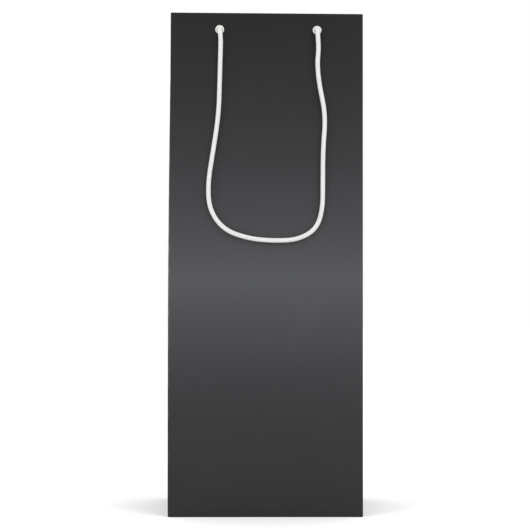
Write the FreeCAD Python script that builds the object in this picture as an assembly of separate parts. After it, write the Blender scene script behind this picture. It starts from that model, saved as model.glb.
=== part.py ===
"""A paper wine gift bag: one printed, creased and glued sheet, stiffened with card, with two cord handles.

The bag stands on its bottom, +Z up. The front face looks along -Y and the width lies along X. The origin is
the centre of the bottom, where it meets the table. All sizes are in millimetres.

The sheet is split at its creases into panels, so that each panel is a separate thin solid:
front and rear panels, two halves and a foot triangle for each side gusset, the turned-in hem round the mouth,
the glued seam flap, and the four flaps that make the bottom. Loose or fixed to it are two card stiffeners
inside the hem, the base card, four eyelets, and two cord handles whose ends are knotted inside the mouth.

The gussets have the shape that paper takes when the two main panels lean together: each half keeps its width,
so the closer the panels come, the further the middle crease moves in.
"""

import FreeCAD, Part

import math
import os

from FreeCAD import Vector

# ---------------------------------------------------------------- driving dimensions
WIDTH = 127.0  # across the front, 5 in
DEPTH = 89.0  # front to back at the bottom, 3.5 in
HEIGHT = 330.0  # 13 in
MOUTH = 77.5  # front to back at the mouth, where the panels have leaned in
PAPER = 0.3  # laminated art paper
BOARD = 0.8  # card in the hem and on the bottom
HEM = 40.0  # depth of the turned-in hem
CLEAR = 0.05  # gap between separate layers that only touch

HOLE_DROP = 11.2  # eyelet centres below the top edge
HOLE_SPACING = 64.2
PUNCH_SHIFT = 1.0  # the holes are punched a little to the right of the middle
EYELET_BORE_R = 1.7
EYELET_BARREL_R = 2.0
EYELET_FLANGE_R = 2.9
EYELET_RISE = 0.55  # how far a flange stands off the sheet
EYELET_LIP = 0.1  # how deep a flange's rounding goes into the bore
EYELET_ROLL = 0.3  # how much smaller the flange inside is

CORD_R = 1.6
CORD_STANDOFF = 4.0  # from the sheet to the line that a handle swings about
CORD_REST_GAP = 0.1  # between the hanging cord and the sheet at its lowest point
CORD_JOIN_GAP = 0.5  # between a cord's fixed end and its swinging loop, so that the loop can lean inwards
KNOT_R = 4.3
TAIL_LENGTH = 11.0

# The hanging handle's route, in its own plane: (x, distance below the holes).
HANDLE_ROUTE = [
    (-31.1, 0.0),
    (-30.1, 12.8),
    (-30.8, 32.8),
    (-31.7, 56.8),
    (-36.0, 80.8),
    (-38.8, 101.8),
    (-36.6, 118.3),
    (-27.0, 130.3),
    (-11.5, 136.1),
    (6.5, 137.4),
    (21.5, 136.2),
    (32.6, 129.8),
    (36.6, 117.8),
    (37.0, 99.8),
    (37.1, 78.8),
    (38.8, 56.8),
    (34.5, 34.8),
    (33.6, 14.8),
    (33.1, 0.0),
]
ARC_SHARE = 0.45  # share of the shorter run that an arc takes at each route point

# ---------------------------------------------------------------- worked out from them
HALF_W = WIDTH / 2
GUSSET_HALF = DEPTH / 2
LEAN = (DEPTH - MOUTH) / 2 / HEIGHT  # how far a main panel leans in, per unit of height
APEX_Z = GUSSET_HALF / (1 + LEAN)  # top of a gusset's foot triangle
HEM_Z = HEIGHT - HEM
HOLE_Z = HEIGHT - HOLE_DROP
HOLES_X = (PUNCH_SHIFT - HOLE_SPACING / 2, PUNCH_SHIFT + HOLE_SPACING / 2)
STACK = 2 * PAPER + BOARD  # sheet, stiffener and hem at an eyelet
BODY_LEVELS = [APEX_Z, 100.0, 160.0, 225.0, HEM_Z, HEIGHT]  # where the curved gussets' flat facets meet


def half_depth(z):
    """From the middle plane to the outside of a main panel."""
    return DEPTH / 2 - LEAN * z


def crease_in(z):
    """How far a gusset's middle crease has moved in from the side."""
    h = half_depth(z)
    return math.sqrt(max(GUSSET_HALF**2 - h**2, 0.0))


def corner(z, front, side):
    """(x, y) where a main panel's surface, `front` in from its outside, meets a gusset half's, `side` in.

    It is the corner at +X and -Y; the other three are its mirror images.
    """
    h = half_depth(z)
    c = crease_in(z)
    if z < APEX_Z:  # below the triangle's top a gusset half keeps one plane
        h_dir, c = half_depth(APEX_Z), crease_in(APEX_Z)
    else:
        h_dir = h
    along = (front + c / GUSSET_HALF * side) * GUSSET_HALF / h_dir
    x = HALF_W - c / GUSSET_HALF * along - h_dir / GUSSET_HALF * side
    return (x, -h + front)


def crease(z, side):
    """(x, y) of a gusset's middle crease on the surface `side` in from its outside, at +X."""
    return (HALF_W - crease_in(z) - side * GUSSET_HALF / half_depth(z), 0.0)


# ---------------------------------------------------------------- solids from points
def face(points):
    """A flat face through a ring of points, or nothing where the ring has shrunk to a line."""
    ring = [p for p, after in zip(points, points[1:] + points[:1]) if p != after]
    if len(ring) < 3:
        return []
    return [Part.Face(Part.makePolygon([Vector(*p) for p in ring + ring[:1]]))]


def patch(a, b, c, d):
    """Two triangles that fill a quadrilateral, split along its shorter diagonal.

    Neighbouring panels share their mitre faces, and this rule splits a face the same way for both of them.
    """
    if math.dist(a, c) <= math.dist(b, d):
        return face([a, b, c]) + face([a, c, d])
    return face([a, b, d]) + face([b, c, d])


def tower(rings):
    """The closed solid through rings of points, from the lowest up. All rings have as many points."""
    count = len(rings[0])
    faces = face(rings[0][::-1]) + face(rings[-1])
    for low, high in zip(rings, rings[1:]):
        for i in range(count):
            j = (i + 1) % count
            faces += patch(low[i], low[j], high[j], high[i])
    made = Part.Solid(Part.Shell(faces))
    if made.Volume < 0:
        made.reverse()
    return made


def mirrored(shape, x=False, y=False):
    """The shape's mirror image across the middle planes that are asked for."""
    if x:
        shape = shape.mirror(Vector(0, 0, 0), Vector(1, 0, 0))
    if y:
        shape = shape.mirror(Vector(0, 0, 0), Vector(0, 1, 0))
    return shape


def at(xy, z):
    return (xy[0], xy[1], z)


# ---------------------------------------------------------------- the sheet
def main_panel():
    """The front panel; its side edges are mitred to the gussets."""
    foot_out, foot_in = foot_corners()
    rings = [across(foot_out, foot_in, 0.0)]
    rings += [across(corner(z, 0, 0), corner(z, PAPER, PAPER), z) for z in BODY_LEVELS]
    return tower(rings)


def across(outer, inner, z):
    """A ring for something that spans the front, from one mitred end to the other."""
    return [(-outer[0], outer[1], z), at(outer, z), at(inner, z), (-inner[0], inner[1], z)]


def foot_corners():
    """(x, y) of the bottom corner at +X and -Y, on the sheet's outside and on its inside."""
    return (HALF_W, -DEPTH / 2), (HALF_W - PAPER, -DEPTH / 2 + PAPER)


def gusset_half():
    """The half of the right gusset that is next to the front panel. It narrows to a point at the foot."""
    foot_out, foot_in = (at(p, 0.0) for p in foot_corners())
    rings = [[foot_out, foot_out, foot_in, foot_in]]
    for z in BODY_LEVELS:
        section = [corner(z, 0, 0), crease(z, 0), crease(z, PAPER), corner(z, PAPER, PAPER)]
        rings.append([at(p, z) for p in section])
    return tower(rings)


def foot_triangle():
    """The flat triangle at the foot of the right gusset."""
    (out_x, out_y), (in_x, in_y) = foot_corners()
    top_out, top_in = (at(crease(APEX_Z, side), APEX_Z) for side in (0, PAPER))
    base = [(out_x, out_y, 0.0), (out_x, -out_y, 0.0), (in_x, -in_y, 0.0), (in_x, in_y, 0.0)]
    return tower([base, [top_out, top_out, top_in, top_in]])


def strip(layer_out, layer_in, ends, low, high):
    """A straight strip on the front panel between two depths, ending at the gusset surface `ends` deep."""
    return tower([across(corner(z, layer_out, ends), corner(z, layer_in, ends), z) for z in (low, high)])


def side_hem():
    """The hem's V-shaped stretch inside the right gusset."""
    rings = []
    for z in (HEM_Z, HEIGHT):
        outer, inner = corner(z, STACK, PAPER), corner(z, STACK, 2 * PAPER)
        fold_out, fold_in = crease(z, PAPER), crease(z, 2 * PAPER)
        rings.append(
            [
                at(outer, z),
                at(fold_out, z),
                (outer[0], -outer[1], z),
                (inner[0], -inner[1], z),
                at(fold_in, z),
                at(inner, z),
            ]
        )
    return tower(rings)


SEAM_WIDTH = 15.0
SEAM_BOTTOM = 50.0


def seam_flap():
    """The glued flap that closes the sheet into a tube, inside the left gusset beside the rear panel."""
    levels = [SEAM_BOTTOM] + [z for z in BODY_LEVELS if SEAM_BOTTOM < z < HEM_Z] + [HEM_Z - CLEAR]
    rings = []
    for z in levels:
        share = SEAM_WIDTH / GUSSET_HALF
        start_out, start_in = corner(z, PAPER, PAPER), corner(z, PAPER, 2 * PAPER)
        fold_out, fold_in = crease(z, PAPER), crease(z, 2 * PAPER)
        end_out, end_in = (
            (a[0] + (b[0] - a[0]) * share, a[1] + (b[1] - a[1]) * share)
            for a, b in ((start_out, fold_out), (start_in, fold_in))
        )
        rings.append([at(p, z) for p in (start_out, end_out, end_in, start_in)])
    return mirrored(tower(rings), x=True, y=True)


FLAP_INSET = 0.3  # from the inside of a side fold, because the foot triangles lean in over the flaps
FLAP_X = HALF_W - PAPER - FLAP_INSET
FLAP_Y = DEPTH / 2 - PAPER - CLEAR
SIDE_FLAP = 36.0
OUTER_FLAP_REACH = 12.0  # past the middle, on the flap that shows underneath
FLAP_SLANT = 20.0  # how far a side flap's ends slant in, and twice the main flaps' cut corners


def bottom_flaps():
    """The four flaps of the bottom, from the one that shows underneath up to the pair folded in first."""
    cut = FLAP_SLANT / 2
    main_reach = FLAP_Y + OUTER_FLAP_REACH

    def plate(points, layer):
        low = layer * PAPER
        ring = Part.Face(Part.makePolygon([Vector(x, y, low) for x, y in points + points[:1]]))
        return ring.extrude(Vector(0, 0, PAPER))

    front = plate(
        [
            (-FLAP_X, -FLAP_Y),
            (FLAP_X, -FLAP_Y),
            (FLAP_X, -FLAP_Y + main_reach - cut),
            (FLAP_X - cut, -FLAP_Y + main_reach),
            (-FLAP_X + cut, -FLAP_Y + main_reach),
            (-FLAP_X, -FLAP_Y + main_reach - cut),
        ],
        0,
    )
    rear = mirrored(front, y=True)
    rear.translate(Vector(0, 0, PAPER))
    right = plate(
        [
            (FLAP_X, -FLAP_Y),
            (FLAP_X, FLAP_Y),
            (FLAP_X - SIDE_FLAP, FLAP_Y - FLAP_SLANT),
            (FLAP_X - SIDE_FLAP, -FLAP_Y + FLAP_SLANT),
        ],
        2,
    )
    return {
        "bottom_flap_front": front,
        "bottom_flap_rear": rear,
        "bottom_flap_right": right,
        "bottom_flap_left": mirrored(right, x=True),
    }


CARD_MARGIN = 1.5  # base card to main panels
CARD_SIDE_MARGIN = 2.5  # base card to foot triangles, which lean in
CARD_CORNER = 3.0


def base_card():
    """The loose card that keeps the bottom flat, with its corners rounded off."""
    x, y = WIDTH / 2 - CARD_SIDE_MARGIN, DEPTH / 2 - CARD_MARGIN
    low = 3 * PAPER + CLEAR
    card = Part.makeBox(2 * x, 2 * y, BOARD, Vector(-x, -y, low))
    upright = [e for e in card.Edges if abs(e.Vertexes[0].Z - e.Vertexes[1].Z) > BOARD / 2]
    return card.makeFillet(CARD_CORNER, upright)


# ---------------------------------------------------------------- eyelets and handles
def on_front(x, z, out):
    """A point `out` in front of the front panel's outside, straight off the panel at height z."""
    return Vector(x, -half_depth(z), z) + out_of_front() * out


def out_of_front():
    """The front panel's outward normal: it looks up a little, because the panel leans in."""
    return Vector(0, -1, LEAN).normalize()


def turned(profile, x):
    """A solid of revolution about the axis of the hole at x. The profile is a wire of (radius, out) in X and Y."""
    axis = out_of_front()
    made = Part.Face(profile).revolve(Vector(0, 0, 0), Vector(0, 1, 0), 360)
    made.Placement = FreeCAD.Placement(
        on_front(x, HOLE_Z, 0), FreeCAD.Rotation(Vector(0, 1, 0), axis)
    )
    return made


def eyelet(x):
    """A pressed eyelet: a barrel through the stack, with a rounded flange outside and a rolled one inside."""
    bore, barrel, rim = EYELET_BORE_R, EYELET_BARREL_R, EYELET_FLANGE_R
    lip, roll, back = EYELET_LIP, EYELET_FLANGE_R - EYELET_ROLL, -STACK
    crown = (bore + rim) / 2

    def flat(*points):
        return [Part.LineSegment(Vector(*a, 0), Vector(*b, 0)).toShape() for a, b in zip(points, points[1:])]

    def arc(a, b, c):
        return Part.Arc(Vector(*a, 0), Vector(*b, 0), Vector(*c, 0)).toShape()

    edges = flat((barrel, back), (barrel, 0), (rim, 0))
    edges.append(arc((rim, 0), (crown + lip, EYELET_RISE), (bore, -lip)))
    edges += flat((bore, -lip), (bore, back + lip))
    edges.append(arc((bore, back + lip), (crown - lip, back - EYELET_RISE), (roll, back)))
    edges += flat((roll, back), (barrel, back))
    return turned(Part.Wire(edges), x)


KNOT_OUT = -STACK - EYELET_RISE - CLEAR - KNOT_R  # the knot's centre, inside the mouth


def cord_end(x):
    """One fixed end of a handle: the stretch through the eyelet, the knot that holds it, and its short tail."""
    tip = CORD_STANDOFF - CORD_R - CORD_JOIN_GAP
    through = Part.makeCylinder(CORD_R, tip - KNOT_OUT, on_front(x, HOLE_Z, KNOT_OUT), out_of_front())
    middle = on_front(x, HOLE_Z, KNOT_OUT)
    knot = Part.makeSphere(KNOT_R, middle)
    down = Vector(0, 0, -1)
    tail = Part.makeCylinder(CORD_R, KNOT_R + TAIL_LENGTH, middle, down)
    return through.fuse([knot, tail]).removeSplitter()


def route_in_space():
    """The hanging front handle's route. Its plane holds the swing line and meets the sheet at the lowest point."""
    hinge = on_front(0, HOLE_Z, CORD_STANDOFF)
    deepest = max(v for _, v in HANDLE_ROUTE)
    foot = on_front(0, HOLE_Z - deepest, CORD_R + CORD_REST_GAP)
    down = (foot - hinge).normalize()
    return [Vector(x, 0, 0) + hinge + down * v for x, v in HANDLE_ROUTE]


def rounded_path(points):
    """Straight runs joined by tangent arcs, each as large as its two runs allow."""
    edges, start, radii = [], points[0], []
    for before, point, after in zip(points, points[1:], points[2:]):
        back, on = before - point, after - point
        turn = math.pi - back.getAngle(on)
        cut = ARC_SHARE * min(back.Length, on.Length)
        radii.append(cut / math.tan(turn / 2))
        a = point + Vector(back).normalize() * cut
        b = point + Vector(on).normalize() * cut
        inward = (Vector(back).normalize() + Vector(on).normalize()).normalize()
        to_middle = radii[-1] / math.cos(turn / 2) - radii[-1]
        edges.append(Part.LineSegment(start, a).toShape())
        edges.append(Part.Arc(a, point + inward * to_middle, b).toShape())
        start = b
    edges.append(Part.LineSegment(start, points[-1]).toShape())
    print("handle bend radii, mm:", [round(r, 1) for r in radii])
    return Part.Wire(edges)


def handle():
    """The free loop of the front handle, hanging on the front, with a round end on the swing line at each hole."""
    points = route_in_space()
    path = rounded_path(points)
    ring = Part.Wire(Part.Circle(points[0], points[1] - points[0], CORD_R).toShape())
    tube = path.makePipeShell([ring], True, True)
    expected = math.pi * CORD_R**2 * path.Length
    print(f"handle: centreline {path.Length:.1f} mm, volume {tube.Volume:.1f} of {expected:.1f} mm3")
    return tube.fuse([Part.makeSphere(CORD_R, p) for p in (points[0], points[-1])]).removeSplitter()


# ---------------------------------------------------------------- the whole bag
BOARD_MARGIN = 1.0  # stiffener to the fold at the mouth and to the hem's end
BOARD_SIDE_MARGIN = 2.5  # stiffener to the gussets
DRILL_REACH = 6.0  # past both sides of the stack


def pierced(shape):
    """The shape with a hole for each front eyelet's barrel."""
    for x in HOLES_X:
        start = on_front(x, HOLE_Z, DRILL_REACH)
        drill = Part.makeCylinder(EYELET_BARREL_R + CLEAR / 2, 2 * DRILL_REACH, start, -out_of_front())
        shape = shape.cut(drill)
    return shape


def build():
    nodes = {}

    front = pierced(main_panel())
    low, high = HEM_Z + BOARD_MARGIN, HEIGHT - BOARD_MARGIN
    board = pierced(strip(PAPER, PAPER + BOARD, BOARD_SIDE_MARGIN, low, high))
    hem = pierced(strip(PAPER + BOARD, STACK, PAPER, HEM_Z, HEIGHT))
    for side, rear in (("front", False), ("rear", True)):
        nodes[f"{side}_panel"] = mirrored(front, y=rear)
        nodes[f"{side}_top_board"] = mirrored(board, y=rear)
        nodes[f"{side}_hem"] = mirrored(hem, y=rear)

    for side, left in (("left", True), ("right", False)):
        nodes[f"{side}_gusset_front"] = mirrored(gusset_half(), x=left)
        nodes[f"{side}_gusset_rear"] = mirrored(gusset_half(), x=left, y=True)
        nodes[f"{side}_gusset_foot"] = mirrored(foot_triangle(), x=left)
        nodes[f"{side}_hem"] = mirrored(side_hem(), x=left)

    nodes["seam_flap"] = seam_flap()
    nodes.update(bottom_flaps())
    nodes["base_card"] = base_card()

    for side, rear in (("front", False), ("rear", True)):
        nodes[f"{side}_handle_cord"] = mirrored(handle(), y=rear)
        for end, x in zip(("left", "right"), HOLES_X):
            nodes[f"{side}_{end}_eyelet"] = mirrored(eyelet(x), y=rear)
            nodes[f"{side}_{end}_knot"] = mirrored(cord_end(x), y=rear)
    return nodes


os.makedirs("parts", exist_ok=True)
for name, shape in build().items():
    solids = shape.Solids
    if not solids or not shape.isValid():
        print("NOT SOUND:", name, shape.ShapeType, len(solids), shape.isValid())
    shape.exportStep(f"parts/{name}.step")
print(f"apex {APEX_Z:.2f}, crease in at apex {crease_in(APEX_Z):.2f}, at mouth {crease_in(HEIGHT):.2f}")
hinge_line = on_front(0, HOLE_Z, CORD_STANDOFF)
print(f"swing line y {hinge_line.y:.4f} z {hinge_line.z:.4f}")
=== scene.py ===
"""A charcoal paper wine gift bag with white cord handles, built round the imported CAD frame.

Everything is in metres, +Z up, with the front face towards -Y. The camera comes first, then the
materials, the two handle cords and their knots, the folded and punched paper sheet, its glued
seam, the eyelets and the card, and last the floor and the lights.
"""

import math

import bmesh
import bpy
import numpy as np
from mathutils import Matrix, Vector


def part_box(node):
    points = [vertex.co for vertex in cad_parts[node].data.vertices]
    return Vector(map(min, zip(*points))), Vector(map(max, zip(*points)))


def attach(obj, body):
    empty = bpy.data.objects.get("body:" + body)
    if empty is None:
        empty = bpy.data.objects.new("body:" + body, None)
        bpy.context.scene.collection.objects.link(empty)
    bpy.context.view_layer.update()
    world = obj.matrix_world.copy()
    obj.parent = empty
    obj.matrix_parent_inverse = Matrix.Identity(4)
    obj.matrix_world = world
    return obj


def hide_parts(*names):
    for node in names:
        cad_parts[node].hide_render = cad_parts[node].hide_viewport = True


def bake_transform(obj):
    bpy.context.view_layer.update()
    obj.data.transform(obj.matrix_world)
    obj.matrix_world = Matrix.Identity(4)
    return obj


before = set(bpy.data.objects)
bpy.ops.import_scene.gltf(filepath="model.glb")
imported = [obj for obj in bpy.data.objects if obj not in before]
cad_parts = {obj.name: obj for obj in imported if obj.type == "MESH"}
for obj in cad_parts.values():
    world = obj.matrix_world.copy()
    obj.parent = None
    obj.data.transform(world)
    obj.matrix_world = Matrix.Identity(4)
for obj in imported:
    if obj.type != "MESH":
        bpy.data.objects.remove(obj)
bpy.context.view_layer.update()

# ---------------------------------------------------------------- sizes, from the frame
panel_low, panel_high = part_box("front_panel")

PAPER = 0.0003  # sheet thickness
BOARD = 0.0008  # card stiffener thickness
STACK = 2 * PAPER + BOARD  # sheet, stiffener and turned-in hem together
HALF_WIDTH = panel_high.x
HALF_DEPTH = -panel_low.y  # to the panel's outside, at the bottom
HEIGHT = panel_high.z
HALF_MOUTH = -panel_high.y + PAPER  # and at the mouth
HEM_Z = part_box("front_hem")[0].z  # the hem's lower edge
LEAN = (HALF_DEPTH - HALF_MOUTH) / HEIGHT  # how far a main panel leans in, per unit of height
APEX_Z = HALF_DEPTH / (1 + LEAN)  # top of a gusset's foot triangle
OUTWARD = Vector((0, -1, LEAN)).normalized()  # straight out of the front panel
ACROSS = Vector((1, 0, 0))
DOWN = Vector((0, 0, -1))

SIDES = ("front", "rear")
ENDS = ("left", "right")


def middle_of(node):
    low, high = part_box(node)
    return (low + high) / 2


HOLES_X = {end: middle_of(f"front_{end}_eyelet").x for end in ENDS}
HOLE_DROP = 0.0112  # from the rim down to the holes
HOLE_Z = HEIGHT - HOLE_DROP
SWING_OUT = 0.0040  # from the sheet to the line that a handle swings about

CORD_DIAMETER = 0.0032
CORD_RADIUS = CORD_DIAMETER / 2


def half_depth(z):
    """From the middle plane to the outside of a main panel."""
    return HALF_DEPTH - LEAN * z


def on_front(x, z, out):
    """A point `out` in front of the front panel, straight off it at height z."""
    return Vector((x, -half_depth(z), z)) + out * OUTWARD


def for_side(side, point):
    """A point of the front as it is, or its mirror image for the rear."""
    return Vector((point.x, -point.y, point.z)) if side == "rear" else point


def even(low, high, count):
    """Evenly spaced values from low to high, with `count` steps between them."""
    return [low + (high - low) * i / count for i in range(count + 1)]


def fade(value, none, full):
    """0 at `none` and beyond, 1 at `full` and beyond, and an even change between them."""
    return min(max((value - none) / (full - none), 0.0), 1.0)


# ---------------------------------------------------------------- camera
AIM = Vector((-0.0008, -0.0410, 0.1638))
CAMERA_DISTANCE = 0.900
CAMERA_AZIMUTH = math.radians(-1.39)
CAMERA_ELEVATION = math.radians(-1.45)
CAMERA_ROLL = math.radians(0.19)
CAMERA_SENSOR = 36.0  # in millimetres, and the lens too
CAMERA_LENS = 93.4
CAMERA_NEAR = 0.01
CAMERA_FAR = 50.0


def make_camera():
    back = Vector(
        (
            math.sin(CAMERA_AZIMUTH) * math.cos(CAMERA_ELEVATION),
            -math.cos(CAMERA_AZIMUTH) * math.cos(CAMERA_ELEVATION),
            math.sin(CAMERA_ELEVATION),
        )
    )
    right = Vector((0, 0, 1)).cross(back).normalized()
    up = back.cross(right)
    turned_right = right * math.cos(CAMERA_ROLL) + up * math.sin(CAMERA_ROLL)
    turned_up = up * math.cos(CAMERA_ROLL) - right * math.sin(CAMERA_ROLL)
    data = bpy.data.cameras.new("camera")
    data.sensor_width = CAMERA_SENSOR
    data.lens = CAMERA_LENS
    data.clip_start = CAMERA_NEAR
    data.clip_end = CAMERA_FAR
    camera = bpy.data.objects.new("camera", data)
    axes = Matrix((turned_right, turned_up, back)).transposed()
    camera.matrix_world = Matrix.Translation(AIM + back * CAMERA_DISTANCE) @ axes.to_4x4()
    bpy.context.scene.collection.objects.link(camera)
    bpy.context.scene.camera = camera


make_camera()


# ---------------------------------------------------------------- materials' helpers
def feed(tree, node, inputs):
    """Sets a node's inputs from (socket, value or other socket) pairs."""
    for socket, value in inputs:
        if isinstance(value, bpy.types.NodeSocket):
            tree.links.new(value, node.inputs[socket])
        else:
            node.inputs[socket].default_value = value


def add_node(tree, kind, inputs=(), **settings):
    """A node of that kind, with settings as attributes and inputs as feed takes them."""
    node = tree.nodes.new(kind)
    for name, value in settings.items():
        setattr(node, name, value)
    feed(tree, node, inputs)
    return node


def new_material(name):
    """A node material, its tree, its Principled shader and the object coordinates in it."""
    material = bpy.data.materials.new(name)
    material.use_nodes = True
    tree = material.node_tree
    where = add_node(tree, "ShaderNodeTexCoord").outputs["Object"]
    return material, tree, tree.nodes["Principled BSDF"], where


def math_node(tree, operation, *values):
    return add_node(tree, "ShaderNodeMath", enumerate(values), operation=operation).outputs[0]


def noise(tree, where, scale, detail=2.0, roughness=0.5):
    inputs = [("Vector", where), ("Scale", scale), ("Detail", detail), ("Roughness", roughness)]
    return add_node(tree, "ShaderNodeTexNoise", inputs).outputs["Fac"]


def ramp(tree, factor, stops):
    """A colour ramp from (position, grey or colour) stops."""
    node = tree.nodes.new("ShaderNodeValToRGB")
    elements = node.color_ramp.elements
    while len(elements) < len(stops):
        elements.new(0.5)
    for element, (position, colour) in zip(elements, stops):
        colour = colour if isinstance(colour, tuple) else (colour, colour, colour)
        element.position = position
        element.color = (*colour, 1.0)
    tree.links.new(factor, node.inputs[0])
    return node.outputs["Color"]


def map_range(tree, value, source, target=(0.0, 1.0)):
    """The value carried from one range to another, and kept inside it."""
    inputs = enumerate((value, *source, *target))
    return add_node(tree, "ShaderNodeMapRange", inputs, clamp=True).outputs[0]


def bump(tree, shader, height, strength, distance):
    inputs = [("Height", height), ("Strength", strength), ("Distance", distance)]
    node = add_node(tree, "ShaderNodeBump", inputs)
    tree.links.new(node.outputs["Normal"], shader.inputs["Normal"])


MOST_NOISE = (0.3, 0.7)  # most of a noise's values lie between these


def shaded(tree, factor, shades):
    """A colour that goes from the first shade to the second over most of a noise's values."""
    return ramp(tree, factor, list(zip(MOST_NOISE, shades)))


# ---------------------------------------------------------------- printed paper, and its painted sheen
PRINT_COOL = (0.975, 1.0, 1.055)  # the charcoal is very slightly blue
PRINT_AND_SHEEN_STOPS = [  # height up the bag, and how light the charcoal print and its painted sheen are there
    (0.00, 0.0186),
    (0.10, 0.0220),
    (0.15, 0.0230),
    (0.20, 0.0253),
    (0.25, 0.0285),
    (0.30, 0.0350),
    (0.39, 0.0492),
    (0.465, 0.0622),
    (0.60, 0.0392),
    (0.70, 0.0265),
    (0.80, 0.0188),
    (0.90, 0.0142),
    (1.00, 0.0099),
]
PRINT_MOTTLE = (0.97, 1.03)  # how the print's lightness varies from place to place
PRINT_SPECK = (0.965, 1.035)  # and from speck to speck
SPECK_NOISE = (0.35, 0.65)
PRINT_ROUGHNESS = (0.46, 0.58)
PRINT_SPECULAR = 0.14  # how strongly the film over the print shines
FOLD_WHITE = 0.13  # how light a rubbed fold gets
FOLD_COLOUR = (0.62, 0.62, 0.61, 1.0)  # the paper that shows through there
RUB_NOISE = (0.42, 0.66)  # not rubbed below the first, and fully above the second
EDGE_RUB = 0.00045  # how far in from a corner or the rim the rub reaches
CREASE_RUB = (0.00040, 0.00005)  # off the middle plane: no rub, and full rub
CREASE_REACH = 0.030  # the middle creases are nearer to the sides than this
CREASE_FOOT = 0.004  # and above this height


def folds_rub(tree, where, x, y, z):
    """How rubbed each place is: the upright corners, the gussets' middle creases and the rim."""
    side = math_node(tree, "ABSOLUTE", x)
    corners = map_range(tree, side, (HALF_WIDTH - EDGE_RUB, HALF_WIDTH))
    rim = map_range(tree, z, (HEIGHT - EDGE_RUB, HEIGHT))
    creases = map_range(tree, math_node(tree, "ABSOLUTE", y), CREASE_RUB)
    in_gusset = math_node(tree, "GREATER_THAN", side, HALF_WIDTH - CREASE_REACH)
    above_floor = math_node(tree, "GREATER_THAN", z, CREASE_FOOT)
    creases = math_node(tree, "MULTIPLY", creases, in_gusset)
    creases = math_node(tree, "MULTIPLY", creases, above_floor)
    rub = math_node(tree, "MAXIMUM", corners, math_node(tree, "MAXIMUM", creases, rim))
    patches = noise(tree, where, scale=150.0, detail=6.0, roughness=0.62)
    patchy = map_range(tree, patches, RUB_NOISE)
    return math_node(tree, "MULTIPLY", math_node(tree, "MULTIPLY", rub, patchy), FOLD_WHITE)


def printed_paper():
    """Satin laminated art paper printed charcoal, with a painted sheen that makes it lighter round
    its middle height.
    """
    material, tree, shader, where = new_material("printed_paper")
    x, y, z = add_node(tree, "ShaderNodeSeparateXYZ", [(0, where)]).outputs
    stops = [(share, tuple(grey * c for c in PRINT_COOL)) for share, grey in PRINT_AND_SHEEN_STOPS]
    # charcoal print, with a painted sheen: the lighter band round middle height stands in for the
    # lamps' reflection
    print_and_sheen = ramp(tree, math_node(tree, "DIVIDE", z, HEIGHT), stops)
    clouds = noise(tree, where, scale=38.0, detail=4.0)
    mottle = map_range(tree, clouds, MOST_NOISE, PRINT_MOTTLE)
    specks = noise(tree, where, scale=2600.0, detail=1.0)
    speck = map_range(tree, specks, SPECK_NOISE, PRINT_SPECK)
    tint = math_node(tree, "MULTIPLY", mottle, speck)
    inputs = [(0, print_and_sheen), ("Scale", tint)]
    print_and_sheen = add_node(tree, "ShaderNodeVectorMath", inputs, operation="SCALE").outputs[0]
    inputs = [(0, folds_rub(tree, where, x, y, z)), (6, print_and_sheen), (7, FOLD_COLOUR)]
    colour = add_node(tree, "ShaderNodeMix", inputs, data_type="RGBA").outputs[2]
    smears = noise(tree, where, scale=24.0, detail=3.0)
    gloss = map_range(tree, smears, MOST_NOISE, PRINT_ROUGHNESS)
    inputs = [
        ("Base Color", colour),
        ("Roughness", gloss),
        ("Specular IOR Level", PRINT_SPECULAR),
    ]
    feed(tree, shader, inputs)
    fibres = noise(tree, where, scale=900.0, detail=3.0, roughness=0.6)
    bump(tree, shader, fibres, strength=0.12, distance=0.00006)
    return material


# ---------------------------------------------------------------- the other materials
PAPER_SHADES = ((0.74, 0.735, 0.715), (0.80, 0.795, 0.775))
PAPER_ROUGHNESS = 0.78
CARD_STOPS = [  # its noise's value, and the flecks', the fibres' and the lightest colour
    (0.30, (0.40, 0.385, 0.36)),
    (0.42, (0.62, 0.61, 0.585)),
    (0.70, (0.70, 0.69, 0.665)),
]
CARD_ROUGHNESS = 0.85
LACQUER_SHADES = ((0.62, 0.62, 0.59), (0.67, 0.67, 0.645))
LACQUER_ROUGHNESS = (0.24, 0.36)
YARN_SHADES = ((0.60, 0.60, 0.595), (0.70, 0.70, 0.695))
YARN_ROUGHNESS = 0.55
YARN_SHEEN = 0.25
YARN_SHEEN_ROUGHNESS = 0.4


def plain_paper():
    """The sheet's unprinted side and its cut edges."""
    material, tree, shader, where = new_material("plain_paper")
    clouds = noise(tree, where, scale=60.0, detail=5.0)
    colour = shaded(tree, clouds, PAPER_SHADES)
    feed(tree, shader, [("Base Color", colour), ("Roughness", PAPER_ROUGHNESS)])
    fibres = noise(tree, where, scale=1400.0, detail=4.0, roughness=0.6)
    bump(tree, shader, fibres, strength=0.20, distance=0.00008)
    return material


def card():
    """Uncoated duplex board, grey-white with flecks of recycled fibre."""
    material, tree, shader, where = new_material("card")
    flecks = noise(tree, where, scale=1100.0, detail=4.0, roughness=0.7)
    colour = ramp(tree, flecks, CARD_STOPS)
    feed(tree, shader, [("Base Color", colour), ("Roughness", CARD_ROUGHNESS)])
    grain = noise(tree, where, scale=700.0, detail=5.0, roughness=0.6)
    bump(tree, shader, grain, strength=0.25, distance=0.00012)
    return material


def white_lacquer():
    """The eyelets' stove enamel: smooth, with slightly uneven gloss."""
    material, tree, shader, where = new_material("white_lacquer")
    clouds = noise(tree, where, scale=500.0)
    colour = shaded(tree, clouds, LACQUER_SHADES)
    smears = noise(tree, where, scale=900.0)
    gloss = map_range(tree, smears, MOST_NOISE, LACQUER_ROUGHNESS)
    feed(tree, shader, [("Base Color", colour), ("Roughness", gloss)])
    bump(tree, shader, noise(tree, where, scale=650.0), strength=0.10, distance=0.00006)
    return material


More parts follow.
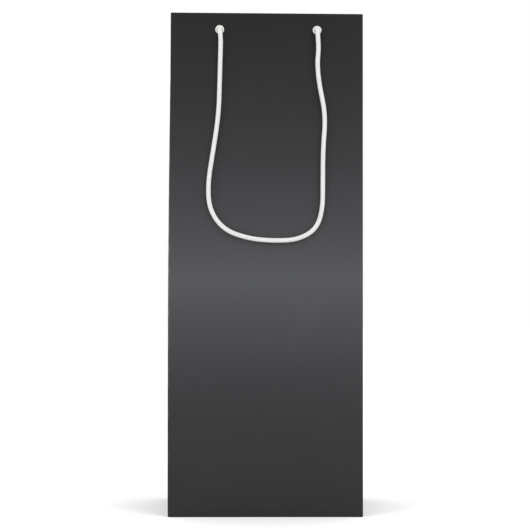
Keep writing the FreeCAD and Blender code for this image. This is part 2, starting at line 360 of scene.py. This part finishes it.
def white_yarn():
    """The cord's glossy polypropylene yarn, with fine filaments and a soft sheen."""
    material, tree, shader, where = new_material("white_yarn")
    clouds = noise(tree, where, scale=1500.0, detail=3.0)
    inputs = [
        ("Base Color", shaded(tree, clouds, YARN_SHADES)),
        ("Roughness", YARN_ROUGHNESS),
        ("Sheen Weight", YARN_SHEEN),
        ("Sheen Roughness", YARN_SHEEN_ROUGHNESS),
    ]
    feed(tree, shader, inputs)
    filaments = noise(tree, where, scale=5200.0, roughness=0.6)
    bump(tree, shader, filaments, strength=0.30, distance=0.00005)
    return material


# the printed charcoal paper, with its painted sheen round middle height
PRINT_AND_SHEEN_PAPER = printed_paper()
PLAIN = plain_paper()
CARD = card()
LACQUER = white_lacquer()
YARN = white_yarn()


# ---------------------------------------------------------------- making pieces
def new_piece(name, mesh, *materials):
    """A piece with that mesh and those materials."""
    for material in materials:
        mesh.materials.append(material)
    piece = bpy.data.objects.new(name, mesh)
    bpy.context.scene.collection.objects.link(piece)
    return piece


def piece_from(shape, name, *materials, smooth=True):
    """A piece made from a bmesh, which is used up."""
    for each in shape.faces:
        each.smooth = smooth
    mesh = bpy.data.meshes.new(name)
    shape.to_mesh(mesh)
    shape.free()
    return new_piece(name, mesh, *materials)


def thicken(piece, thickness):
    """Gives a surface its thickness, on its inside."""
    thick = piece.modifiers.new("thickness", "SOLIDIFY")
    thick.thickness = thickness
    thick.offset = -1
    return thick


# ---------------------------------------------------------------- cords
CORD_ROUTE = [  # a hanging handle: across, and down from the holes, in metres
    (-0.0303, 0.0075),
    (-0.0305, 0.0155),
    (-0.0309, 0.0328),
    (-0.0315, 0.0566),
    (-0.0351, 0.0808),
    (-0.0384, 0.1018),
    (-0.0373, 0.1193),
    (-0.0278, 0.1322),
    (-0.0115, 0.1379),
    (0.0065, 0.1393),
    (0.0213, 0.1382),
    (0.0328, 0.1312),
    (0.0368, 0.1183),
    (0.0369, 0.0998),
    (0.0370, 0.0788),
    (0.0387, 0.0566),
    (0.0344, 0.0360),
    (0.0331, 0.0230),
    (0.0339, 0.0135),
    (0.0336, 0.0070),
]
CORD_INSIDE = (-0.0020, -0.0015)  # a cord's first two points off the sheet, inside its eyelet
EYELET_SWELL = 0.11  # how much a cord swells where it starts
EYELET_SHARE = 0.025  # the share of its length that takes to fade
CORD_LIE = CORD_RADIUS + 0.00015  # the cord's line off the sheet where it lies on it
CORD_LIFT = SWING_OUT - CORD_LIE  # how much further out it stands as it leaves the hole
CORD_LIFT_FADE = 0.020  # how soon it comes down to the sheet
CORD_LIFT_POWER = 1.5  # and how suddenly
CURVE_STEPS = 40  # straight steps between two control points
NO_CORD = (0.3, 0.5, 0.8)  # a direction that no cord starts in


def smooth_line(points):
    """Points along the smooth NURBS line that the control points make."""
    curve = bpy.data.curves.new("line", "CURVE")
    curve.dimensions = "3D"
    curve.resolution_u = CURVE_STEPS
    spline = curve.splines.new("NURBS")
    spline.points.add(len(points) - 1)
    for knot, point in zip(spline.points, points):
        knot.co = (*point, 1.0)
    spline.order_u = 3
    spline.use_endpoint_u = True
    holder = bpy.data.objects.new("line", curve)
    mesh = bpy.data.meshes.new_from_object(holder)
    line = np.array([v.co for v in mesh.vertices])
    bpy.data.objects.remove(holder)
    bpy.data.meshes.remove(mesh)
    return line


def respaced(line, step):
    """The line again with its points `step` apart, and how far along it each one is."""
    lengths = np.linalg.norm(np.diff(line, axis=0), axis=1)
    run = np.concatenate([[0], np.cumsum(lengths)])
    count = max(int(round(run[-1] / step)), 2)
    marks = np.linspace(0, run[-1], count + 1)
    return np.stack([np.interp(marks, run, line[:, i]) for i in range(3)], 1), marks


def line_frames(line):
    """Two crosswise unit vectors at each point of a line, which turn as little as they can."""
    ahead = np.gradient(line, axis=0)
    ahead /= np.linalg.norm(ahead, axis=1)[:, None]
    first = np.cross(ahead[0], NO_CORD)
    sides = [first / np.linalg.norm(first)]
    for direction in ahead[1:]:
        carried = sides[-1] - direction * np.dot(sides[-1], direction)
        sides.append(carried / np.linalg.norm(carried))
    sides = np.array(sides)
    return sides, np.cross(ahead, sides)


STRANDS = 6  # strands that wind each way
BRAID_PITCH = 0.0100
BRAID_STEP = 0.00042
STRAND_SIDES = 6
STRAND_HALF_WIDTH = 0.00066
STRAND_HALF_THICKNESS = 0.00019
STRAND_RADIUS = 0.00126  # from the cord's line to a strand's
STRAND_WEAVE = 0.00014  # how far a strand rises over and dips under the others
CROSSING = BRAID_PITCH / (2 * STRANDS)  # from one crossing of strands to the next
CORE_RADIUS = 0.00113
CORE_SIDES = 10


def strand_rings(line, marks, side, other, way, number):
    """Rings of points round one strand, which winds round the line one way or the other."""
    angle = 2 * math.pi * number / STRANDS + way * 2 * math.pi / BRAID_PITCH * marks
    out = side * np.cos(angle)[:, None] + other * np.sin(angle)[:, None]
    across = -side * np.sin(angle)[:, None] + other * np.cos(angle)[:, None]
    radius = STRAND_RADIUS + way * STRAND_WEAVE * np.cos(math.pi * marks / CROSSING)
    centre = line + out * radius[:, None]
    ring = -2 * math.pi * np.arange(STRAND_SIDES) / STRAND_SIDES
    wide = STRAND_HALF_WIDTH * np.cos(ring)
    thick = STRAND_HALF_THICKNESS * np.sin(ring)
    bent = wide**2 / (2 * STRAND_RADIUS)  # a strand wraps round the cord
    return (
        centre[:, None, :]
        + across[:, None, :] * wide[None, :, None]
        + out[:, None, :] * (thick - bent)[None, :, None]
    )


def core_rings(line, side, other):
    """Rings of points round the core that the strands wind round."""
    ring = 2 * math.pi * np.arange(CORE_SIDES) / CORE_SIDES
    return (
        line[:, None, :]
        + side[:, None, :] * (CORE_RADIUS * np.cos(ring))[None, :, None]
        + other[:, None, :] * (CORE_RADIUS * np.sin(ring))[None, :, None]
    )


def tube_faces(start, rows, count):
    """The faces of a closed tube, from `rows` rings of `count` points numbered from `start`."""
    index = start + np.arange(rows * count).reshape(rows, count)
    following = np.roll(index, -1, axis=1)
    quads = np.stack([index[:-1], following[:-1], following[1:], index[1:]], -1)
    return quads.reshape(-1, 4).tolist() + [index[0][::-1].tolist(), index[-1].tolist()]


def braid(name, line, thickness):
    """A braided cord along a line: each strand goes over one that winds the other way, then under.

    `thickness` says how thick it is at each share of its length, against its full thickness.
    """
    line, marks = respaced(line, BRAID_STEP)
    side, other = line_frames(line)
    slim = np.array([thickness(share) for share in marks / marks[-1]])[:, None]
    side, other = side * slim, other * slim
    tubes = []
    for way in (1, -1):
        for number in range(STRANDS):
            tubes.append(strand_rings(line, marks, side, other, way, number))
    tubes.append(core_rings(line, side, other))
    points = []
    faces = []
    for rings in tubes:
        faces += tube_faces(len(points), *rings.shape[:2])
        points += rings.reshape(-1, 3).tolist()
    mesh = bpy.data.meshes.new(name)
    mesh.from_pydata(points, [], faces)
    mesh.shade_smooth()
    return new_piece(name, mesh, YARN)


def cord_points(side):
    """A handle's control points: out of one eyelet, down the panel and up into the other."""

    def end(x):
        return [on_front(x, HOLE_Z, out) for out in (*CORD_INSIDE, SWING_OUT)]

    points = end(HOLES_X["left"])
    for x, drop in CORD_ROUTE:
        lift = CORD_LIFT * math.exp(-((drop / CORD_LIFT_FADE) ** CORD_LIFT_POWER))
        points.append(on_front(x, HOLE_Z - drop, CORD_LIE + lift))
    points += end(HOLES_X["right"])[::-1]
    return [for_side(side, p) for p in points]


def handle_thickness(share):
    """Slightly more where the cord fills its eyelets."""
    return 1 + EYELET_SWELL * fade(min(share, 1 - share), EYELET_SHARE, 0)


def make_handle(side):
    """One handle cord, which bends where it leaves its eyelets."""
    line = smooth_line(cord_points(side))
    piece = braid(f"{side}_cord", line, handle_thickness)
    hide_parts(f"{side}_handle_cord")
    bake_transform(piece)
    return piece, line


handles = {side: make_handle(side) for side in SIDES}


# ---------------------------------------------------------------- knots
KNOT_BIG = 0.00262  # from a knot's axis to the middle of its winding
KNOT_SMALL = 0.00130  # how far the cord winds to each side of that
KNOT_OPEN = 0.30  # where the cord enters and leaves its winding, as an angle
KNOT_ENTRY = [  # from there out, in the knot's own directions
    (0.00345, -0.00360, 0.00060),
    (0.00400, -0.00170, 0.00115),
    (0.00400, 0.00000, 0.00138),
]
KNOT_STEPS = 26
KNOT_START = (0.0, -0.0010, -STACK - 0.0012)  # its first points off the sheet, in the eyelet
KNOT_OUT = -0.0064  # the middle of a knot, from the outside of the panel
KNOT_DROP = 0.0040  # and down from its eyelet
KNOT_SHIFT = -0.0022  # and to one side of it
KNOT_STEEP = math.radians(62)  # how steeply the cord runs down through it
KNOT_TAIL = [  # from the knot's end: inward, and down
    (0.0000, 0.0035),
    (-0.0006, 0.0070),
    (-0.0004, 0.0105),
    (0.0008, 0.0130),
]
KNOT_SQUEEZE = 0.17  # how much of its thickness a cord loses where it is pulled tight
TIGHT_FROM = (0.04, 0.14)  # shares of its length: loose before the first, tight after the second
TIGHT_TO = (0.84, 0.76)  # loose after the first, tight before the second
MELT = 0.35  # how much the cut end is melted down
MELT_FROM = 0.985


def knot_point(t):
    """A trefoil's line, an overhand knot's: twice round while it winds in and out three times."""
    across = KNOT_BIG + KNOT_SMALL * math.cos(3 * t)
    return across * math.cos(2 * t), across * math.sin(2 * t), KNOT_SMALL * math.sin(3 * t)


def knot_route(x):
    """Control points of one front knot: in from the eyelet, round the knot, and down the tail."""
    inward = -OUTWARD
    through = (inward * math.cos(KNOT_STEEP) + DOWN * math.sin(KNOT_STEEP)).normalized()
    deep = ACROSS.cross(through)
    winding = [knot_point(t) for t in even(KNOT_OPEN, 2 * math.pi - KNOT_OPEN, KNOT_STEPS)]
    leaving = [(a, -b, -c) for a, b, c in reversed(KNOT_ENTRY)]
    middle = on_front(x + KNOT_SHIFT, HOLE_Z - KNOT_DROP, KNOT_OUT)
    points = [on_front(x, HOLE_Z, out) for out in KNOT_START]
    for a, b, c in KNOT_ENTRY + winding + leaving:
        points.append(middle + ACROSS * a + through * b + deep * c)
    last = points[-1]
    return points + [last + inward * a + DOWN * b for a, b in KNOT_TAIL]


def knot_thickness(share):
    """Full in the eyelet and the tail, less where the knot is tight, and rounded at the end."""
    tight = fade(share, *TIGHT_FROM) * fade(share, *TIGHT_TO)
    return 1 - KNOT_SQUEEZE * tight - MELT * fade(share, MELT_FROM, 1) ** 2


def make_knot(side, end, x):
    line = smooth_line([for_side(side, p) for p in knot_route(x)])
    piece = braid(f"{side}_{end}_overhand", line, knot_thickness)
    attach(piece, "bag")
    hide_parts(f"{side}_{end}_knot")
    return piece


for side, (cord, line) in handles.items():
    knots = [make_knot(side, end, x) for end, x in HOLES_X.items()]


# ---------------------------------------------------------------- the paper sheet
BOW = 0.0008  # how far the main panels hollow in between their folds
BOW_POWER = 1.2  # more than 1 keeps the hollow away from the corners
GUSSET_BOW = 0.0011  # how far a gusset half curls between its folds
FREE_HEIGHT = HEM_Z - 0.004  # the stiffened hem holds the sheet flat above this
FREE_POWER = 0.8
LEFT_SPREAD = 0.0007  # how far the bag has spread towards its left side
FRONT_COLUMNS = 22
GUSSET_COLUMNS = 9
FOOT_ROWS = 9
WALL_ROWS = 40
RIM_ROWS = 7
HEM_ROWS = 6
FLAP_ROWS = 10
SIDE_FLAP_ROWS = 6
FLAP_LIFT = PAPER + 0.00002  # one layer of sheet and its glue
FLAP_SETTLE = 0.003  # how far from its fold a flap lies level
FLAP_BEVEL = 0.010  # off the corners of the front and rear flaps
SIDE_FLAP_SLANT = 0.020  # how much narrower a side flap gets at each end
SAME_POINT = 0.00002  # points nearer than this are one
SHORTEST_EDGE = 0.00001
FOLD_WIDTH = 0.00035
FOLD_SEGMENTS = 3
FOLD_ANGLE = math.radians(9)  # the sheet bends less than this where it isn't folded
LEVEL = 1e-7  # two points whose heights differ by less are level


def crease_in(z):
    """How far a gusset's middle crease has moved in from the side."""
    return math.sqrt(max(HALF_DEPTH**2 - half_depth(z) ** 2, 0.0))


def corner(z, front, side):
    """(x, y) at +X, -Y where two surfaces of the sheet meet.

    One is `front` inside a main panel, and the other is `side` inside a gusset half.
    """
    shape_z = max(z, APEX_Z)
    h, c = half_depth(shape_z), crease_in(shape_z)
    along = (front + c / HALF_DEPTH * side) * HALF_DEPTH / h
    x = HALF_WIDTH - c / HALF_DEPTH * along - h / HALF_DEPTH * side
    return x, front - half_depth(z)


def crease(z, side):
    """(x, y) of a gusset's middle crease, `side` inside it, at +X."""
    return HALF_WIDTH - crease_in(z) - side * HALF_DEPTH / half_depth(z), 0.0


def foot_fold(z):
    """(x, y) of the front fold of a foot triangle, at +X."""
    share = z / APEX_Z
    return HALF_WIDTH + (crease(APEX_Z, 0)[0] - HALF_WIDTH) * share, -HALF_DEPTH * (1 - share)


def swell(share):
    """0 at both ends of a span and 1 in its middle."""
    return math.sin(math.pi * min(max(share, 0.0), 1.0))


def body_share(z):
    """0 at the bottom and from the stiffened hem up, and 1 half-way between."""
    return swell(z / FREE_HEIGHT) ** FREE_POWER if z < FREE_HEIGHT else 0.0


def front_point(station, u):
    """A point of the front panel. u runs from -1 at the left corner to 1 at the right."""
    z, front, side = station
    x, y = corner(z, front, side)
    hollow = BOW * body_share(z) * swell((u + 1) / 2) ** BOW_POWER
    return Vector((x * u, y + hollow, z))


def gusset_point(station, v):
    """A point of the right gusset's front half. v is 0 at the corner and 1 at the inner fold."""
    z, front, side = station
    x, y = corner(z, front, side)
    fold_x, fold_y = foot_fold(z) if z < APEX_Z else crease(z, side)
    curl = GUSSET_BOW * body_share(z) * swell(v) * min(z / APEX_Z, 1.0)
    return Vector((x + (fold_x - x) * v - curl, y + (fold_y - y) * v, z))


def foot_point(z, v):
    """A point of the right foot triangle. v is -1 at its front fold and 1 at its rear fold."""
    x, y = foot_fold(z)
    return Vector((x, -y * v, z))


def stations():
    """The sheet's way up the outside, over the rim and down inside, in two lists.

    The first is the foot triangles' height, and the second is the rest. Each station is its z,
    and how far it is inside the main panels and inside the gussets.
    """
    low = [(APEX_Z * i / FOOT_ROWS, 0.0, 0.0) for i in range(FOOT_ROWS)]
    wall_top = HEIGHT - STACK / 2
    wall = [(z, 0.0, 0.0) for z in even(APEX_Z, wall_top, WALL_ROWS)]
    rim = []
    for angle in even(0, math.pi, RIM_ROWS)[1:]:
        inward = (1 - math.cos(angle)) / 2
        z = wall_top + STACK / 2 * math.sin(angle)
        rim.append((z, STACK * inward, 2 * PAPER * inward))
    hem = [(z, STACK, 2 * PAPER) for z in even(wall_top, HEM_Z, HEM_ROWS)[1:]]
    return low, wall + rim + hem


def settled(point):
    """A point of the sheet where it has come to rest, with the left side spread a little."""
    left = max(0.0, -point.x / HALF_WIDTH)
    return point - Vector((LEFT_SPREAD * left * body_share(point.z), 0, 0))


def add_grid(shape, rows):
    """Quads through rows of points."""
    made = [[shape.verts.new(settled(p)) for p in row] for row in rows]
    for low, high in zip(made, made[1:]):
        for i in range(len(low) - 1):
            shape.faces.new((low[i], low[i + 1], high[i + 1], high[i]))


def backwards(rows):
    """The same rows, with the quads through them facing the other way."""
    return [row[::-1] for row in rows]


def flipped(rows, x=1, y=1):
    """The rows' mirror image, whose quads still face out where the rows' own did."""
    turned = [[Vector((p.x * x, p.y * y, p.z)) for p in row] for row in rows]
    return backwards(turned) if x * y < 0 else turned


def wall_rows():
    """Rows of the front panel, of a gusset half and of a foot triangle."""
    low, high = stations()
    across = even(-1, 1, FRONT_COLUMNS)
    inward = even(0, 1, GUSSET_COLUMNS)
    front = [[front_point(s, u) for u in across] for s in low + high]
    half = [[gusset_point(s, v) for v in inward] for s in low + high]
    side = even(-1, 1, 2 * GUSSET_COLUMNS)
    foot = [[foot_point(s[0], v) for v in side] for s in low + high[:1]]
    return front, half, foot


def front_flap_rows():
    """The bottom flap that shows underneath."""
    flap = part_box("bottom_flap_front")[1]
    across = even(-1, 1, FRONT_COLUMNS)
    rows = [[Vector((u * HALF_WIDTH, -HALF_DEPTH, 0)) for u in across]]
    for y in even(-HALF_DEPTH + FLAP_SETTLE, flap.y, FLAP_ROWS):
        width = flap.x - max(0.0, y - (flap.y - FLAP_BEVEL))
        rows.append([Vector((u * width, y, 0)) for u in across])
    return rows


def rear_flap_rows():
    """The bottom flap that lies on it, from the rear."""
    rows = flipped(front_flap_rows(), y=-1)
    for row in rows[1:]:
        for p in row:
            p.z = FLAP_LIFT * min(1.0, (HALF_DEPTH - p.y) / FLAP_SETTLE)
    return rows


def side_flap_rows():
    """The right bottom flap, which was folded in first."""
    low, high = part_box("bottom_flap_right")
    across = even(-1, 1, 2 * GUSSET_COLUMNS)
    rows = [[foot_point(0, v) for v in across]]
    for x in even(HALF_WIDTH - FLAP_SETTLE, low.x, SIDE_FLAP_ROWS):
        half = high.y - SIDE_FLAP_SLANT * (high.x - x) / (high.x - low.x)
        rows.append([Vector((x, v * half, 2 * FLAP_LIFT)) for v in across])
    return rows


def is_rim(edge):
    """Whether an edge runs along the rounded rim, which is smooth already."""
    one, other = (v.co.z for v in edge.verts)
    return min(one, other) > HEIGHT - STACK and abs(one - other) < LEVEL


def is_fold(edge):
    return edge.is_manifold and edge.calc_face_angle(0) > FOLD_ANGLE and not is_rim(edge)


def make_sheet():
    """The one folded sheet that the bag is, with its printed side out."""
    sheet = bmesh.new()
    front, half, foot = wall_rows()
    add_grid(sheet, front)
    add_grid(sheet, flipped(front, y=-1))
    for x in (1, -1):
        for y in (1, -1):
            add_grid(sheet, flipped(half, x, y))
        add_grid(sheet, flipped(foot, x))
        add_grid(sheet, backwards(flipped(side_flap_rows(), x)))
    add_grid(sheet, backwards(front_flap_rows()))
    add_grid(sheet, backwards(rear_flap_rows()))
    bmesh.ops.remove_doubles(sheet, verts=sheet.verts, dist=SAME_POINT)
    bmesh.ops.dissolve_degenerate(sheet, edges=sheet.edges, dist=SHORTEST_EDGE)
    sheet.normal_update()
    weights = sheet.edges.layers.float.new("bevel_weight_edge")
    for edge in sheet.edges:
        if is_fold(edge):
            edge[weights] = 1.0
    piece = piece_from(sheet, "paper_sheet", PRINT_AND_SHEEN_PAPER, PLAIN)
    folds = piece.modifiers.new("folds", "BEVEL")
    folds.limit_method = "WEIGHT"
    folds.width = FOLD_WIDTH
    folds.segments = FOLD_SEGMENTS
    thick = thicken(piece, PAPER)
    thick.material_offset = 1  # the second material, inside and on the cut edges
    thick.material_offset_rim = 1
    return piece


# ---------------------------------------------------------------- the holes in the sheet
EYELET_BARREL = 0.00200  # outside radius of an eyelet's barrel
HOLE_RADIUS = EYELET_BARREL - 0.00005  # a barrel fills its hole
DRILL_LENGTH = 0.012
DRILL_SIDES = 32
CUT_ANGLE = math.radians(50)  # cut edges are sharper than this, and folds less


def make_drills():
    """One cylinder through each hole, with the plain material for the cut edges."""
    drills = bmesh.new()
    for side in SIDES:
        turn = for_side(side, OUTWARD).to_track_quat("Z", "Y").to_matrix().to_4x4()
        for x in HOLES_X.values():
            middle = for_side(side, on_front(x, HOLE_Z, 0))
            bmesh.ops.create_cone(
                drills,
                cap_ends=True,
                segments=DRILL_SIDES,
                radius1=HOLE_RADIUS,
                radius2=HOLE_RADIUS,
                depth=DRILL_LENGTH,
                matrix=Matrix.Translation(middle) @ turn,
            )
    for each in drills.faces:
        each.material_index = 1
    return piece_from(drills, "drills", PRINT_AND_SHEEN_PAPER, PLAIN, smooth=False)


def pierce(piece):
    """Cuts the four eyelets' holes through the sheet and its turned-in hem."""
    drills = make_drills()
    cut = piece.modifiers.new("holes", "BOOLEAN")
    cut.operation = "DIFFERENCE"
    cut.solver = "EXACT"
    cut.object = drills
    bpy.context.view_layer.update()
    finished = piece.evaluated_get(bpy.context.evaluated_depsgraph_get())
    used = [piece.data, drills.data]
    piece.data = bpy.data.meshes.new_from_object(finished)
    piece.modifiers.clear()
    piece.data.set_sharp_from_angle(angle=CUT_ANGLE)
    bpy.data.objects.remove(drills)
    for mesh in used:
        bpy.data.meshes.remove(mesh)
    piece.data.name = "paper_sheet"


sheet_piece = make_sheet()
pierce(sheet_piece)
SHEET_NODES = [f"{side}_panel" for side in SIDES]
SHEET_NODES += [f"{side}_hem" for side in SIDES + ENDS]
SHEET_NODES += [f"bottom_flap_{side}" for side in SIDES + ENDS]
SHEET_NODES += [f"{end}_gusset_{part}" for end in ENDS for part in ("front", "rear", "foot")]
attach(sheet_piece, "bag")
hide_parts(*SHEET_NODES)


# ---------------------------------------------------------------- the glued seam
SEAM_WIDTH = 0.015
SEAM_START = 0.004  # how far from the corner it starts, as a share of the gusset half
SEAM_ROWS = 30
SEAM_COLUMNS = 4
SEAM_THICKNESS = 0.9 * PAPER  # it is pressed flat


def make_seam():
    """The flap inside the left gusset by the rear panel, which closes the sheet into a tube."""
    low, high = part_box("seam_flap")
    seam = bmesh.new()
    rows = []
    for z in even(low.z, high.z, SEAM_ROWS):
        shares = even(SEAM_START, SEAM_WIDTH / HALF_DEPTH, SEAM_COLUMNS)
        rows.append([gusset_point((z, PAPER, PAPER), v) for v in shares])
    add_grid(seam, flipped(rows, -1, -1))
    seam.normal_update()
    piece = piece_from(seam, "seam", PLAIN)
    thicken(piece, SEAM_THICKNESS)
    return piece


seam_piece = make_seam()
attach(seam_piece, "bag")
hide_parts("seam_flap")


# ---------------------------------------------------------------- eyelets
EYELET_BORE = 0.00170
EYELET_RIM = 0.00290
EYELET_RISE = 0.00055
EYELET_PROFILE = [  # radius, and out from the sheet
    (EYELET_RIM - 0.00002, 0.00000),
    (EYELET_RIM, 0.00012),
    (EYELET_RIM - 0.00012, 0.00032),
    (EYELET_RIM - 0.00035, 0.00047),
    (EYELET_RIM - 0.00062, EYELET_RISE),
    (EYELET_BORE + 0.00034, 0.00050),
    (EYELET_BORE + 0.00012, 0.00034),
    (EYELET_BORE + 0.00001, 0.00008),
    (EYELET_BORE, -0.00040),
    (EYELET_BORE, -STACK + 0.00030),
    (EYELET_BORE + 0.00006, -STACK - 0.00012),
    (EYELET_BORE + 0.00026, -STACK - 0.00040),
    (EYELET_BORE + 0.00052, -STACK - 0.00050),
    (EYELET_RIM - 0.00048, -STACK - 0.00036),
    (EYELET_RIM - 0.00034, -STACK - 0.00004),
    (EYELET_BARREL, -STACK + 0.00003),
    (EYELET_BARREL, -0.00003),
    (EYELET_RIM - 0.00010, -0.00003),
]
EYELET_SIDES = 48
EYELET_SAME_POINT = 0.000002


def make_eyelet(side, end, x):
    """A pressed eyelet: a round flange outside, a barrel, and a rolled-over flange inside."""
    lathe = bmesh.new()
    upward = OUTWARD.cross(ACROSS)
    rows = []
    for radius, out in EYELET_PROFILE:
        row = []
        for angle in even(0, 2 * math.pi, EYELET_SIDES):
            spoke = ACROSS * math.cos(angle) + upward * math.sin(angle)
            row.append(for_side(side, on_front(x, HOLE_Z, out) + radius * spoke))
        rows.append(row)
    add_grid(lathe, rows + rows[:1])
    bmesh.ops.remove_doubles(lathe, verts=lathe.verts, dist=EYELET_SAME_POINT)
    bmesh.ops.recalc_face_normals(lathe, faces=lathe.faces)
    piece = piece_from(lathe, f"{side}_{end}_ring", LACQUER)
    finer = piece.modifiers.new("finer", "SUBSURF")
    finer.levels = 1
    finer.render_levels = 1
    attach(piece, "bag")
    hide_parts(f"{side}_{end}_eyelet")


for side in SIDES:
    for end, x in HOLES_X.items():
        make_eyelet(side, end, x)


# ---------------------------------------------------------------- card
def paint(node, material):
    """Gives a CAD node its finish."""
    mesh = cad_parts[node].data
    mesh.materials.clear()
    mesh.materials.append(material)


for node in ("front_top_board", "rear_top_board", "base_card"):
    paint(node, CARD)


# ---------------------------------------------------------------- floor and light
FLOOR_SIZE = 12.0
FLOOR_GREYS = (0.94, 0.96)
FLOOR_ROUGHNESS = 0.9
FLOOR_SPECULAR = 0.1
LIGHT_AIM = Vector((0, 0, 0.17))  # the middle of the bag
SOFTBOX_SIZE = 1.0
SOFTBOXES = [  # name, place and power
    ("key_softbox", (1.3, -1.5, 1.3), 12.0),
    ("fill_softbox", (-1.4, -1.3, 1.0), 8.0),
]
OVERHEAD_POWER = 0.6
OVERHEAD_SPREAD = math.radians(70)
WHITE = (1.0, 1.0, 1.0, 1.0)


def make_stage():
    bpy.ops.mesh.primitive_plane_add(size=FLOOR_SIZE, location=(0, 0, 0))
    floor = bpy.context.object
    floor.name = "floor"
    material, tree, shader, where = new_material("pale_floor")
    inputs = [
        ("Base Color", shaded(tree, noise(tree, where, scale=3.0), FLOOR_GREYS)),
        ("Roughness", FLOOR_ROUGHNESS),
        ("Specular IOR Level", FLOOR_SPECULAR),
    ]
    feed(tree, shader, inputs)
    floor.data.materials.append(material)


def add_light(name, kind, power):
    data = bpy.data.lights.new(name, kind)
    data.energy = power
    light = bpy.data.objects.new(name, data)
    bpy.context.scene.collection.objects.link(light)
    return light


def add_softbox(name, place, power):
    """A square area light that faces the middle of the bag."""
    light = add_light(name, "AREA", power)
    light.data.size = SOFTBOX_SIZE
    light.location = place
    light.rotation_euler = (LIGHT_AIM - light.location).to_track_quat("-Z", "Y").to_euler()


def make_light():
    world = bpy.data.worlds.new("studio")
    world.use_nodes = True
    background = world.node_tree.nodes["Background"]
    feed(world.node_tree, background, [("Color", WHITE), ("Strength", 1.0)])
    bpy.context.scene.world = world
    for name, place, power in SOFTBOXES:
        add_softbox(name, place, power)
    overhead = add_light("overhead", "SUN", OVERHEAD_POWER)
    overhead.data.angle = OVERHEAD_SPREAD
    bpy.context.scene.view_settings.view_transform = "Standard"


make_stage()
make_light()
